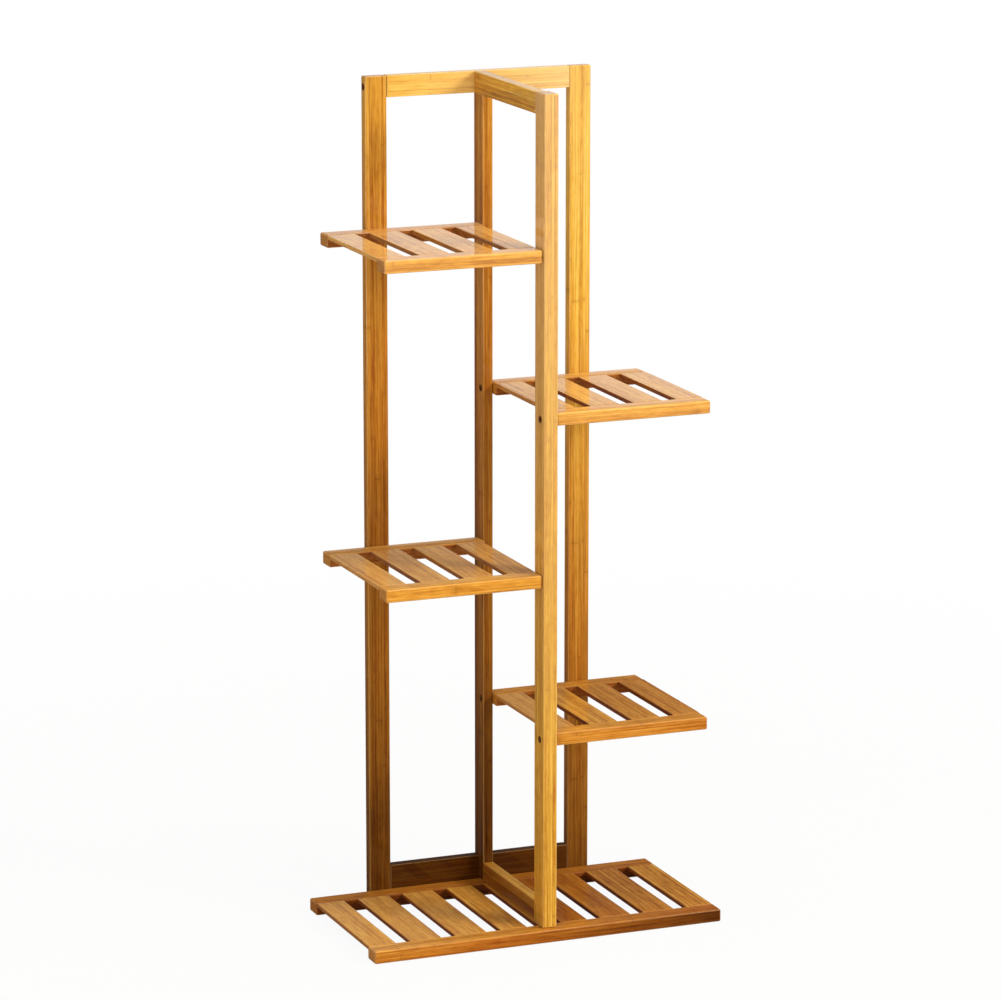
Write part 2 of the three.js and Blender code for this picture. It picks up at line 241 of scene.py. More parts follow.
def end_grain(tree, place):
    """Cut ends: pale wood between dark fibre bundles that take up more of the colouring."""
    spread = add(tree, "ShaderNodeVectorMath", {
        0: place, 1: (0, 1 / PORE_WIDE, 1 / PORE_WIDE),
    }, operation="MULTIPLY")
    pores = add(tree, "ShaderNodeTexVoronoi", {"Vector": spread, "Scale": 1.0})
    return add(tree, "ShaderNodeValToRGB", {0: pores.outputs["Distance"]},
               stops=((0.15, "#4F2A0E"), (0.55, "#A56629")))


# ---- Materials ----------------------------------------------------------------------

def laminated_bamboo(name, dark, honey, pale, figure, glue_strength, end_strength):
    """Carbonised bamboo strips, glued up, planed and sprayed with clear gloss lacquer.

    Each strip has its own tone, streaks and nodes. The lacquer lies smooth over the
    fibres, so it mirrors what stands on it at a low angle. The figure holds the shares of
    strip, streak, mottle and fibre in the wood's tone.
    """
    material, tree = new_material(name)
    board = add(tree, "ShaderNodeAttribute", attribute_name="board").outputs["Vector"]
    along, across, through = add(tree, "ShaderNodeSeparateXYZ", {0: board}).outputs
    tone, seed, edge, end, sawn = [
        add(tree, "ShaderNodeAttribute", attribute_name=label).outputs["Fac"]
        for label in ("board_tone", "board_seed", "edge", "end", "sawn")
    ]

    lot, glue = strip_lots(tree, across, through, seed)
    shift = add(tree, "ShaderNodeVectorMath", {0: lot.outputs["Color"], 1: STRIP_SHIFT},
                operation="MULTIPLY")
    fibre = drawn_out(tree, board, shift, FIBRE_LONG, FIBRE_WIDE, 3.0)
    streak = drawn_out(tree, board, shift, STREAK_LONG, STREAK_WIDE, 2.0)
    mottle = drawn_out(tree, board, shift, MOTTLE_LONG, MOTTLE_WIDE, 2.0)
    vein = drawn_out(tree, board, shift, VEIN_LONG, VEIN_WIDE, 1.0)

    # Plain wood, from the strip's own tone down to single fibres.
    depth = 0.0
    for part, share in zip((lot.outputs["Value"], streak, mottle, fibre), figure):
        depth = add(tree, "ShaderNodeMath", {0: part, 1: share, 2: depth},
                    operation="MULTIPLY_ADD")
    colour = add(tree, "ShaderNodeValToRGB", {0: depth},
                 stops=((0.20, dark), (0.82, pale), (0.50, honey)))

    # Dark sap veins, plainer in darker boards, then nodes and glue lines.
    vein_strength = add(tree, "ShaderNodeMapRange", {
        "Value": tone, "From Min": -0.8, "From Max": 0.2,
        "To Min": VEIN_IN_DARK_BOARDS, "To Max": VEIN_IN_PALE_BOARDS,
    })
    vein_shape = add(tree, "ShaderNodeMapRange", {
        "Value": vein, "From Min": 0.55, "From Max": 0.92,
    }, interpolation_type="SMOOTHSTEP")
    vein_weight = add(tree, "ShaderNodeMath", {0: vein_strength, 1: vein_shape},
                      operation="MULTIPLY")
    node_weight = culm_nodes(tree, along, lot.outputs["Value"], fibre)
    glue_weight = add(tree, "ShaderNodeMath", {0: glue, 1: glue_strength},
                      operation="MULTIPLY")

    # Each board's tone, a little darker or lighter than its neighbours', is partly its own
    # heating and lacquer and partly painted shade and light: darker low down and where plants
    # and pots shaded it, lighter high up.
    heat_and_shade = add(tree, "ShaderNodeMath", {0: tone, 1: 1.0}, operation="ADD")
    stain_and_shade = add(tree, "ShaderNodeValToRGB", {0: heat_and_shade},
                stops=((0.0, "#634B39"), (1.0, "#FFFFFF"), (0.5, "#D4B39A")))
    # Lighter high-toned boards, partly painted light on their upper parts.
    paler = add(tree, "ShaderNodeMapRange", {
        "Value": tone, "From Min": 0.0, "From Max": 1.0, "To Min": 0.0, "To Max": PALE_BOARD,
    })

    # Rounded edges go lighter, partly as sanding wear and partly as a painted highlight; cut
    # ends are darker, as end grain and partly as painted shade; and the sides in the gaps and
    # other shaded sides take a deep red-brown as painted shade.
    edge_weight, end_weight, shaded_side_weight = [
        add(tree, "ShaderNodeMath", {0: place, 1: strength}, operation="MULTIPLY")
        for place, strength in ((edge, PALE_EDGE), (end, end_strength), (sawn, SHADED_SIDE_DARKNESS))
    ]

    # The layers from the bottom up. A Mix node's two colours are its inputs 6 and 7.
    for weight, over, way in (
        (vein_weight, linear("#7C420F"), "MIX"),
        (node_weight, linear("#6E3C12"), "MIX"),
        (glue_weight, linear("#8A4B10"), "MIX"),
        # The board's tone, partly its own and partly painted shade and light.
        (1.0, stain_and_shade, "MULTIPLY"),
        (paler, linear("#FFE4C0"), "MIX"),
        # Lighter rounded edges, partly wear and partly a painted highlight.
        (edge_weight, linear("#F6CB86"), "MIX"),
        # Darker cut ends: end grain, and partly painted shade.
        (end_weight, end_grain(tree, board), "MIX"),
        # Painted shade on the sides in the gaps and other shaded sides.
        (shaded_side_weight, linear("#8A4219"), "MULTIPLY"),
    ):
        colour = add(tree, "ShaderNodeMix", {0: weight, 6: colour, 7: over},
                     data_type="RGBA", blend_type=way).outputs[2]

    relief = add(tree, "ShaderNodeMath", {0: glue, 1: -0.6, 2: fibre},
                 operation="MULTIPLY_ADD")
    bump = add(tree, "ShaderNodeBump", {
        "Height": relief, "Strength": 0.25, "Distance": 0.06 * MM,
    })
    roughness = add(tree, "ShaderNodeMapRange", {
        "Value": fibre, "From Min": 0.0, "From Max": 1.0, "To Min": 0.36, "To Max": 0.52,
    })
    surface = add(tree, "ShaderNodeBsdfPrincipled", {
        "Base Color": colour,
        "Roughness": roughness,
        "Normal": bump,
        "IOR": 1.1,
        "Coat Weight": 1.0,
        "Coat Roughness": 0.06,
        "Coat IOR": 1.5,
    })
    add(tree, "ShaderNodeOutputMaterial", {"Surface": surface})
    return material


def raw_bamboo(name):
    """Bamboo in a bored hole or a notch: torn dark fibres with no lacquer, so it is dull."""
    material, tree = new_material(name)
    where = add(tree, "ShaderNodeTexCoord").outputs["Object"]
    fibre = drawn_out(tree, where, (0, 0, 0), TORN_LONG, TORN_WIDE, 3.0)
    colour = add(tree, "ShaderNodeValToRGB", {0: fibre},
                 stops=((0.1, "#4A2609"), (0.9, "#8F5A20")))
    bump = add(tree, "ShaderNodeBump", {
        "Height": fibre, "Strength": 0.4, "Distance": 0.15 * MM,
    })
    surface = add(tree, "ShaderNodeBsdfPrincipled", {
        "Base Color": colour, "Roughness": 0.75, "Normal": bump,
    })
    add(tree, "ShaderNodeOutputMaterial", {"Surface": surface})
    return material


def bronzed_steel(name):
    """Wood screws of bronzed steel with a dark brown metal glint, made darker as painted shade
    of the recess they sit in, so almost black there.
    """
    material, tree = new_material(name)
    where = add(tree, "ShaderNodeTexCoord")
    grime = add(tree, "ShaderNodeTexNoise", {
        "Vector": where.outputs["Object"], "Scale": 1 / GRIME_WIDE, "Detail": 2.0,
    }).outputs["Fac"]
    colour = add(tree, "ShaderNodeValToRGB", {0: grime},
                 stops=((0.35, "#1E1712"), (0.70, "#4A3C30")))
    roughness = add(tree, "ShaderNodeMapRange", {
        "Value": grime, "From Min": 0.3, "From Max": 0.7, "To Min": 0.30, "To Max": 0.50,
    })
    surface = add(tree, "ShaderNodeBsdfPrincipled", {
        "Base Color": colour, "Metallic": 1.0, "Roughness": roughness,
    })
    add(tree, "ShaderNodeOutputMaterial", {"Surface": surface})
    return material


# Cut ends are darker in the rails and slats than in the uprights: end grain, with painted
# shade on the rails' shaded left ends and painted light on the uprights' lit tops.
FRAME_BAMBOO = laminated_bamboo(
    "lacquered_bamboo_uprights", "#AE6B1F", "#D9A73C", "#EEC55E",
    figure=(0.36, 0.28, 0.16, 0.20), glue_strength=0.34, end_strength=0.35)
RAIL_BAMBOO = laminated_bamboo(
    "lacquered_bamboo_rails", "#A9641B", "#D89735", "#EFB754",
    figure=(0.26, 0.28, 0.24, 0.22), glue_strength=0.26, end_strength=0.60)
SLAT_BAMBOO = laminated_bamboo(
    "lacquered_bamboo_slats", "#AA651C", "#D99A38", "#EFBA56",
    figure=(0.26, 0.24, 0.25, 0.25), glue_strength=0.22, end_strength=0.60)
BORED_BAMBOO = raw_bamboo("raw_bored_bamboo")
SCREW_STEEL = bronzed_steel("bronzed_steel")


# ---- Geometry Nodes -----------------------------------------------------------------

def new_tree(name, inputs):
    """An empty node group and the sockets of its named inputs."""
    tree = bpy.data.node_groups.new(name, "GeometryNodeTree")
    tree.interface.new_socket("Geometry", in_out="OUTPUT", socket_type="NodeSocketGeometry")
    for label, kind in inputs:
        tree.interface.new_socket(label, in_out="INPUT", socket_type="NodeSocket" + kind)
    return tree, tree.nodes.new("NodeGroupInput").outputs


def middle_and_half(tree, low, high):
    """The middle of a box and half its size."""
    both = add(tree, "ShaderNodeVectorMath", {0: low, 1: high}, operation="ADD")
    middle = add(tree, "ShaderNodeVectorMath", {0: both, "Scale": 0.5}, operation="SCALE")
    size = add(tree, "ShaderNodeVectorMath", {0: high, 1: low}, operation="SUBTRACT")
    half = add(tree, "ShaderNodeVectorMath", {0: size, "Scale": 0.5}, operation="SCALE")
    return middle, half


def edge_reading(tree, depth):
    """The second deepest of three axes: 0 on a face's flat, 1 where two faces meet.

    Halfway round an edge two axes are 0.7 deep, which already counts as 1.
    """
    half_turn = 1.4
    x, y, z = add(tree, "ShaderNodeSeparateXYZ", {0: depth}).outputs
    high = add(tree, "ShaderNodeMath", {0: x, 1: y}, operation="MAXIMUM")
    low = add(tree, "ShaderNodeMath", {0: x, 1: y}, operation="MINIMUM")
    next_high = add(tree, "ShaderNodeMath", {0: high, 1: z}, operation="MINIMUM")
    second = add(tree, "ShaderNodeMath", {0: low, 1: next_high}, operation="MAXIMUM")
    return add(tree, "ShaderNodeMath", {0: second, 1: half_turn},
               operation="MULTIPLY", use_clamp=True)


def side_reading(tree, offset, depth, low_sides, high_sides):
    """How far a point is on a board's marked sides. Each side has its own strength."""
    side = add(tree, "ShaderNodeVectorMath", {0: offset}, operation="SIGN")
    is_high = add(tree, "ShaderNodeVectorMath", {0: side, 1: (0, 0, 0)}, operation="MAXIMUM")
    is_low = add(tree, "ShaderNodeVectorMath", {0: is_high, 1: side}, operation="SUBTRACT")
    high = add(tree, "ShaderNodeVectorMath", {0: is_high, 1: high_sides},
               operation="MULTIPLY")
    strength = add(tree, "ShaderNodeVectorMath", {0: is_low, 1: low_sides, 2: high},
                   operation="MULTIPLY_ADD")
    return add(tree, "ShaderNodeVectorMath", {0: strength, 1: depth},
               operation="DOT_PRODUCT").outputs["Value"]


def grain_tree():
    """Marks a board's own directions, tone, edges, ends and the painted shade on its shaded
    sides and front, and its creases.
    """
    tree, given = new_tree("Board grain", [
        ("Geometry", "Geometry"), ("Centre", "Vector"), ("Half", "Vector"),
        ("Along", "Vector"), ("Across", "Vector"), ("Through", "Vector"),
        ("Radius", "Float"), ("Seed", "Float"), ("Low end tone", "Float"),
        ("Middle tone", "Float"), ("High end tone", "Float"),
        ("Raw low sides", "Vector"), ("Raw high sides", "Vector"),
        ("Browner front", "Float"),
    ])
    place = add(tree, "GeometryNodeInputPosition").outputs[0]
    offset = add(tree, "ShaderNodeVectorMath", {0: place, 1: given["Centre"]},
                 operation="SUBTRACT")
    along, across, through = [
        add(tree, "ShaderNodeVectorMath", {0: offset, 1: given[axis]},
            operation="DOT_PRODUCT").outputs["Value"]
        for axis in ("Along", "Across", "Through")
    ]
    in_board = add(tree, "ShaderNodeCombineXYZ", {0: along, 1: across, 2: through})

    # The tone runs from one end over the middle to the other end.
    reach = add(tree, "ShaderNodeVectorMath", {0: given["Half"], 1: given["Along"]},
                operation="DOT_PRODUCT").outputs["Value"]
    low_reach = add(tree, "ShaderNodeMath", {0: reach, 1: -1}, operation="MULTIPLY")
    low_change, high_change = [
        add(tree, "ShaderNodeMath", {0: given[end], 1: given["Middle tone"]},
            operation="SUBTRACT")
        for end in ("Low end tone", "High end tone")
    ]
    to_low = add(tree, "ShaderNodeMapRange", {
        "Value": along, "From Min": low_reach, "From Max": 0.0,
        "To Min": low_change, "To Max": 0.0,
    })
    to_high = add(tree, "ShaderNodeMapRange", {
        "Value": along, "From Min": 0.0, "From Max": reach,
        "To Min": 0.0, "To Max": high_change,
    })
    change = add(tree, "ShaderNodeMath", {0: to_low, 1: to_high}, operation="ADD")
    tone = add(tree, "ShaderNodeMath", {0: given["Middle tone"], 1: change},
               operation="ADD")

    # How far each axis is into its rounded zone: 0 on the flat, 1 at the outer face.
    away = add(tree, "ShaderNodeVectorMath", {0: offset}, operation="ABSOLUTE")
    past = add(tree, "ShaderNodeVectorMath", {0: away, 1: given["Half"]},
               operation="SUBTRACT")
    per_radius = add(tree, "ShaderNodeMath", {0: 1.0, 1: given["Radius"]},
                     operation="DIVIDE")
    zone = add(tree, "ShaderNodeVectorMath", {0: past, "Scale": per_radius},
               operation="SCALE")
    shifted = add(tree, "ShaderNodeVectorMath", {0: zone, 1: (1, 1, 1)}, operation="ADD")
    depth = add(tree, "ShaderNodeVectorMath", {0: shifted, 1: (0, 0, 0)},
                operation="MAXIMUM")

    # Painted shade: the front face gets a darker tone than the top.
    front = side_reading(tree, offset, depth, Y, (0, 0, 0))
    front_shading = add(tree, "ShaderNodeMath", {0: front, 1: given["Browner front"]},
                  operation="MULTIPLY")
    board_tone = add(tree, "ShaderNodeMath", {0: tone, 1: front_shading}, operation="SUBTRACT")
    end = add(tree, "ShaderNodeVectorMath", {0: depth, 1: given["Along"]},
              operation="DOT_PRODUCT").outputs["Value"]
    # Painted shade on the sides in the gaps and other shaded sides.
    sawn = side_reading(tree, offset, depth, given["Raw low sides"], given["Raw high sides"])
    marked = given["Geometry"]
    for label, kind, value in (
        ("board", "FLOAT_VECTOR", in_board),
        ("edge", "FLOAT", edge_reading(tree, depth)),
        ("end", "FLOAT", end),
        ("sawn", "FLOAT", sawn),
        ("board_seed", "FLOAT", given["Seed"]),
        ("board_tone", "FLOAT", board_tone),
    ):
        marked = add(tree, "GeometryNodeStoreNamedAttribute", {
            "Geometry": marked, "Name": label, "Value": value,
        }, data_type=kind, domain="POINT")
    angle = add(tree, "GeometryNodeInputMeshEdgeAngle")
    smooth = add(tree, "FunctionNodeCompare", {0: angle.outputs[0], 1: SHARP_ANGLE},
                 data_type="FLOAT", operation="LESS_THAN")
    faces = add(tree, "GeometryNodeSetShadeSmooth", {0: marked, "Shade Smooth": True},
                domain="FACE")
    edges = add(tree, "GeometryNodeSetShadeSmooth", {0: faces, "Shade Smooth": smooth},
                domain="EDGE")
    add(tree, "NodeGroupOutput", {0: edges})
    return tree


def rounding_tree():
    """Moves a box of finely cornered vertices to a box with rounded edges.

    A vertex's corner reading runs from -1 to 1 on each axis. Its sign says on which side
    it lies, and its size how far the rounded edge has turned there.
    """
    tree, given = new_tree("Rounded box place", [
        ("Geometry", "Geometry"), ("Corner", "Vector"), ("Centre", "Vector"),
        ("Half", "Vector"), ("Radius", "Float"), ("Side", "Vector"),
    ])
    inner = add(tree, "ShaderNodeVectorMath", {0: given["Half"], 1: given["Radius"]},
                operation="SUBTRACT")
    flat = add(tree, "ShaderNodeVectorMath", {
        0: inner, 1: given["Side"], 2: given["Centre"],
    }, operation="MULTIPLY_ADD")
    turn = add(tree, "ShaderNodeVectorMath", {0: given["Corner"]}, operation="NORMALIZE")
    bulge = add(tree, "ShaderNodeVectorMath", {0: turn, "Scale": given["Radius"]},
                operation="SCALE")
    place = add(tree, "ShaderNodeVectorMath", {0: flat, 1: bulge}, operation="ADD")
    moved = add(tree, "GeometryNodeSetPosition", {
        "Geometry": given["Geometry"], "Position": place,
    })
    add(tree, "NodeGroupOutput", {0: moved})
    return tree


ROUNDING = rounding_tree()
GRAIN = grain_tree()


def cornered_cube(tree, steps):
    """A cube with extra vertices by its edges, and each vertex's corner and side readings."""
    count = 2 * (steps + 1)
    cube = add(tree, "GeometryNodeMeshCube", {
        "Size": (1, 1, 1), "Vertices X": count, "Vertices Y": count, "Vertices Z": count,
    })
    place = add(tree, "GeometryNodeInputPosition").outputs[0]
    side = add(tree, "ShaderNodeVectorMath", {0: place}, operation="SIGN")
    away = add(tree, "ShaderNodeVectorMath", {0: place}, operation="ABSOLUTE")
    spread = add(tree, "ShaderNodeVectorMath", {
        0: away, 1: [(count - 1) / steps] * 3, 2: [-0.5 / steps] * 3,
    }, operation="MULTIPLY_ADD")
    corner = add(tree, "ShaderNodeVectorMath", {0: spread, 1: side}, operation="MULTIPLY")
    for label, value in (("corner", corner), ("side", side)):
        cube = add(tree, "GeometryNodeStoreNamedAttribute", {
            "Geometry": cube, "Name": label, "Value": value,
        }, data_type="FLOAT_VECTOR", domain="POINT")
    return cube


def board_tree():
    """One straight board with all its edges rounded."""
    tree, given = new_tree("Rounded board", [
        ("Low corner", "Vector"), ("High corner", "Vector"), ("Edge radius", "Float"),
        ("Material", "Material"),
    ])
    middle, half = middle_and_half(tree, given["Low corner"], given["High corner"])
    corner, side = [
        add(tree, "GeometryNodeInputNamedAttribute", {"Name": label},
            data_type="FLOAT_VECTOR")
        for label in ("corner", "side")
    ]
    rounded = add(tree, "GeometryNodeGroup", {
        "Geometry": cornered_cube(tree, EDGE_STEPS),
        "Corner": corner,
        "Side": side,
        "Centre": middle,
        "Half": half,
        "Radius": given["Edge radius"],
    }, node_tree=ROUNDING)
    painted = add(tree, "GeometryNodeSetMaterial", {
        0: rounded, "Material": given["Material"],
    })
    add(tree, "NodeGroupOutput", {0: painted})
    return tree


def slat_readings(tree, given):
    """Each slat's middle, half size, seed, tone and painted shade on its sides, by its number
    in the row.
    """
    middle, half = middle_and_half(tree, given["Low corner"], given["High corner"])
    _, middle_y, middle_z = add(tree, "ShaderNodeSeparateXYZ", {0: middle}).outputs
    half_x, half_y, half_z = add(tree, "ShaderNodeSeparateXYZ", {0: half}).outputs
    start = add(tree, "ShaderNodeSeparateXYZ", {0: given["Low corner"]}).outputs[0]

    number = add(tree, "GeometryNodeInputIndex").outputs[0]
    last = add(tree, "ShaderNodeMath", {0: given["Count"], 1: 1}, operation="SUBTRACT")
    steps = add(tree, "ShaderNodeMath", {0: last, 1: 1}, operation="MAXIMUM")
    before_last = add(tree, "ShaderNodeMath", {0: last, 1: 0.5}, operation="SUBTRACT")
    is_first = add(tree, "ShaderNodeMath", {0: number, 1: 0.5}, operation="LESS_THAN")
    is_last = add(tree, "ShaderNodeMath", {0: number, 1: before_last},
                  operation="GREATER_THAN")

    # Gap = (row length - both outer slats - the inner slats) / number of gaps
    inner_count = add(tree, "ShaderNodeMath", {0: given["Count"], 1: 2},
                      operation="SUBTRACT")
    inner_sum = add(tree, "ShaderNodeMath", {0: given["Inner width"], 1: inner_count},
                    operation="MULTIPLY")
    filled = add(tree, "ShaderNodeMath", {0: given["Outer width"], 1: 2, 2: inner_sum},
                 operation="MULTIPLY_ADD")
    long = add(tree, "ShaderNodeMath", {0: half_x, 1: 2}, operation="MULTIPLY")
    left_free = add(tree, "ShaderNodeMath", {0: long, 1: filled}, operation="SUBTRACT")
    gap = add(tree, "ShaderNodeMath", {0: left_free, 1: steps}, operation="DIVIDE")

    # Only the first and the last slat have the outer width.
    thinner = add(tree, "ShaderNodeMath", {0: given["Outer width"], 1: given["Inner width"]},
                  operation="SUBTRACT")
    is_outer = add(tree, "ShaderNodeMath", {0: is_first, 1: is_last}, operation="MAXIMUM")
    width = add(tree, "ShaderNodeMath", {0: thinner, 1: is_outer, 2: given["Inner width"]},
                operation="MULTIPLY_ADD")
    pitch = add(tree, "ShaderNodeMath", {0: given["Inner width"], 1: gap}, operation="ADD")
    even_left = add(tree, "ShaderNodeMath", {0: number, 1: pitch, 2: start},
                    operation="MULTIPLY_ADD")
    after_first = add(tree, "ShaderNodeMath", {0: 1, 1: is_first}, operation="SUBTRACT")
    left = add(tree, "ShaderNodeMath", {0: thinner, 1: after_first, 2: even_left},
               operation="MULTIPLY_ADD")
    slat_half = add(tree, "ShaderNodeMath", {0: width, 1: 0.5}, operation="MULTIPLY")
    slat_middle = add(tree, "ShaderNodeMath", {0: left, 1: slat_half}, operation="ADD")
    centre = add(tree, "ShaderNodeCombineXYZ", {0: slat_middle, 1: middle_y, 2: middle_z})
    half_size = add(tree, "ShaderNodeCombineXYZ", {0: slat_half, 1: half_y, 2: half_z})

    own_seed = add(tree, "ShaderNodeMath", {0: number, 1: given["Seed"]}, operation="ADD")
    tone = add(tree, "ShaderNodeMapRange", {
        "Value": number, "From Min": 0.0, "From Max": steps,
        "To Min": given["First tone"], "To Max": given["Last tone"],
    })
    inner_shade = given["Inner sides raw"]
    shade_low, shade_high = [
        add(tree, "ShaderNodeMath", {
            0: is_outer_side,
            1: add(tree, "ShaderNodeMath", {0: given[label], 1: inner_shade},
                   operation="SUBTRACT"),
            2: inner_shade,
        }, operation="MULTIPLY_ADD")
        for is_outer_side, label in ((is_first, "First side raw"), (is_last, "Last side raw"))
    ]
    return (
        ("slat_centre", "FLOAT_VECTOR", centre),
        ("slat_half", "FLOAT_VECTOR", half_size),
        ("slat_seed", "FLOAT", own_seed),
        ("slat_tone", "FLOAT", tone),
        ("slat_raw_low", "FLOAT_VECTOR", add(tree, "ShaderNodeCombineXYZ", {0: shade_low})),
        ("slat_raw_high", "FLOAT_VECTOR", add(tree, "ShaderNodeCombineXYZ", {0: shade_high})),
    )


def slat_row_tree():
    """A row of slats across a deck, with equal gaps. The outer two may be narrower."""
    tree, given = new_tree("Slat row", [
        ("Low corner", "Vector"), ("High corner", "Vector"), ("Count", "Int"),
        ("Outer width", "Float"), ("Inner width", "Float"), ("Edge radius", "Float"),
        ("Seed", "Float"), ("First tone", "Float"), ("Last tone", "Float"),
        ("First side raw", "Float"), ("Last side raw", "Float"),
        ("Inner sides raw", "Float"), ("Material", "Material"),
    ])
    points = add(tree, "GeometryNodeMeshLine", {"Count": given["Count"]})
    for label, kind, value in slat_readings(tree, given):
        points = add(tree, "GeometryNodeStoreNamedAttribute", {
            "Geometry": points, "Name": label, "Value": value,
        }, data_type=kind, domain="POINT")
    copies = add(tree, "GeometryNodeInstanceOnPoints", {
        "Points": points, "Instance": cornered_cube(tree, EDGE_STEPS),
    })
    own = {
        label: add(tree, "GeometryNodeInputNamedAttribute", {"Name": label}, data_type=kind)
        for label, kind in (
            ("corner", "FLOAT_VECTOR"), ("side", "FLOAT_VECTOR"),
            ("slat_centre", "FLOAT_VECTOR"), ("slat_half", "FLOAT_VECTOR"),
            ("slat_seed", "FLOAT"), ("slat_tone", "FLOAT"),
            ("slat_raw_low", "FLOAT_VECTOR"), ("slat_raw_high", "FLOAT_VECTOR"),
        )
    }
    rounded = add(tree, "GeometryNodeGroup", {
        "Geometry": add(tree, "GeometryNodeRealizeInstances", {0: copies}),
        "Corner": own["corner"],
        "Side": own["side"],
        "Centre": own["slat_centre"],
        "Half": own["slat_half"],
        "Radius": given["Edge radius"],
    }, node_tree=ROUNDING)
    marked = add(tree, "GeometryNodeGroup", {
        "Geometry": rounded,
        "Centre": own["slat_centre"],
        "Half": own["slat_half"],
        "Along": Y,
        "Across": X,
        "Through": Z,
        "Radius": given["Edge radius"],
        "Seed": own["slat_seed"],
        "Low end tone": own["slat_tone"],
        "Middle tone": own["slat_tone"],
        "High end tone": own["slat_tone"],
        "Raw low sides": own["slat_raw_low"],
        "Raw high sides": own["slat_raw_high"],
    }, node_tree=GRAIN)
    painted = add(tree, "GeometryNodeSetMaterial", {
        0: marked, "Material": given["Material"],
    })
    add(tree, "NodeGroupOutput", {0: painted})
    return tree


def screw_tree():
    """Copies of one screw, each on its own point and turned to drive its own way."""
    tree, given = new_tree("Sunk screws", [
        ("Geometry", "Geometry"), ("Screw", "Object"), ("Material", "Material"),
    ])
    source = add(tree, "GeometryNodeObjectInfo", {"Object": given["Screw"]})
    way = add(tree, "GeometryNodeInputNamedAttribute", {"Name": "into"},
              data_type="FLOAT_VECTOR")
    stretch = add(tree, "GeometryNodeInputNamedAttribute", {"Name": "stretch"},
                  data_type="FLOAT")
    turn = add(tree, "FunctionNodeAlignRotationToVector", {"Vector": way}, axis="Z")
    scale = add(tree, "ShaderNodeCombineXYZ", {0: 1.0, 1: 1.0, 2: stretch})
    copies = add(tree, "GeometryNodeInstanceOnPoints", {
        "Points": given["Geometry"],
        "Instance": source.outputs["Geometry"],
        "Rotation": turn,
        "Scale": scale,
    })
    real = add(tree, "GeometryNodeRealizeInstances", {0: copies})
    painted = add(tree, "GeometryNodeSetMaterial", {
        0: real, "Material": given["Material"],
    })
    add(tree, "NodeGroupOutput", {0: painted})
    return tree


BOARD = board_tree()
SLAT_ROW = slat_row_tree()
SCREWS = screw_tree()


def attach(obj, tree, values):
    """Puts a node group on an object, with its inputs set by their sockets' identifiers."""
    modifier = obj.modifiers.new(tree.name, "NODES")
    modifier.node_group = tree
    for item in tree.interface.items_tree:
        if item.in_out == "INPUT" and item.name in values:
            modifier[item.identifier] = values[item.name]
    return modifier


# ---- Screws and their holes ---------------------------------------------------------

def screw_way(name):
    """The direction in which a screw is driven, told by its name and its shelf's side."""
    if name.startswith("shelf") and not name.endswith("rear_screw"):
        low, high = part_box(name.rsplit("_", 2)[0] + "_slat_1")
        return X if low.x + high.x > 0 else -X
    if name.startswith("rear_top"):
        return X if name.endswith("left") else -X
    return Z if name.startswith("front_foot") else -Y


def screw_places():
    """Each screw's name, the middle of its head's top face, its direction and its length."""
    places = []
    for name in sorted(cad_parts):
        if "screw" not in name:
            continue
        low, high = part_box(name)
        way = screw_way(name)
        centre = (low + high) / 2
        long = abs((high - low).dot(way))
        places.append((name, centre - way * long / 2, way, long))
    return places


SCREW_PLACES = screw_places()
SUNK = COUNTERBORE_DEEP - JOINT_GAP - HEAD_TALL


def turned_to(mesh, way, start):
    """Aims a mesh whose axis is +Z."""
    turn = Z.rotation_difference(way).to_matrix().to_4x4()
    mesh.transform(Matrix.Translation(start) @ turn)


def lathe(name, profile, sides):
    """A closed turned form from (radius, height) points that start and end on its axis."""
    form = bmesh.new()
    verts = [form.verts.new((radius, 0, height)) for radius, height in profile]
    edges = [form.edges.new(pair) for pair in zip(verts, verts[1:])]
    bmesh.ops.spin(form, geom=verts + edges, cent=(0, 0, 0), axis=(0, 0, 1),
                   angle=2 * math.pi, steps=sides)
    bmesh.ops.remove_doubles(form, verts=form.verts, dist=WELD)
    bmesh.ops.recalc_face_normals(form, faces=form.faces)
    mesh = bpy.data.meshes.new(name)
    form.to_mesh(mesh)
    form.free()
    return mesh


def screw_hole(place):
    """The counterbore and pilot hole of one screw, as a solid to cut away."""
    _, head, way, long = place
    mouth = -SUNK - 1 * MM
    step = COUNTERBORE_DEEP - SUNK
    mesh = lathe("hole", [
        (0, mouth),
        (COUNTERBORE_RADIUS, mouth),
        (COUNTERBORE_RADIUS, step),
        (PILOT_RADIUS, step),
        (PILOT_RADIUS, long + JOINT_GAP),
        (0, long + JOINT_GAP),
    ], HOLE_SIDES)
    turned_to(mesh, way, head)
    return mesh


def block_mesh(low, high):
    form = bmesh.new()
    bmesh.ops.create_cube(form, size=1)
    mesh = bpy.data.meshes.new("block")
    form.to_mesh(mesh)
    form.free()
    mesh.transform(Matrix.Translation((low + high) / 2) @ Matrix.Diagonal((*(high - low), 1)))
    return mesh


def cut_away(obj, name, meshes, material):
    """Cuts forms out of an object and gives the cut faces a material.

    The forms must be removed once the object is settled.
    """
    cutters = [new_object("cutter", mesh) for mesh in meshes]
    for cutter in cutters:
        cutter.data.materials.append(material)
        cut = obj.modifiers.new(name, "BOOLEAN")
        cut.operation = "DIFFERENCE"
        cut.solver = "EXACT"
        cut.material_mode = "TRANSFER"
        cut.object = cutter
    return cutters


def drop_slivers(mesh):
    """Takes out the faces without area that a cut has left."""
    form = bmesh.new()
    form.from_mesh(mesh)
    bmesh.ops.triangulate(form, faces=form.faces)
    bmesh.ops.dissolve_degenerate(form, dist=WELD, edges=form.edges)
    form.to_mesh(mesh)
    form.free()


def remove_all(objects):
    for obj in objects:
        bpy.data.objects.remove(obj)


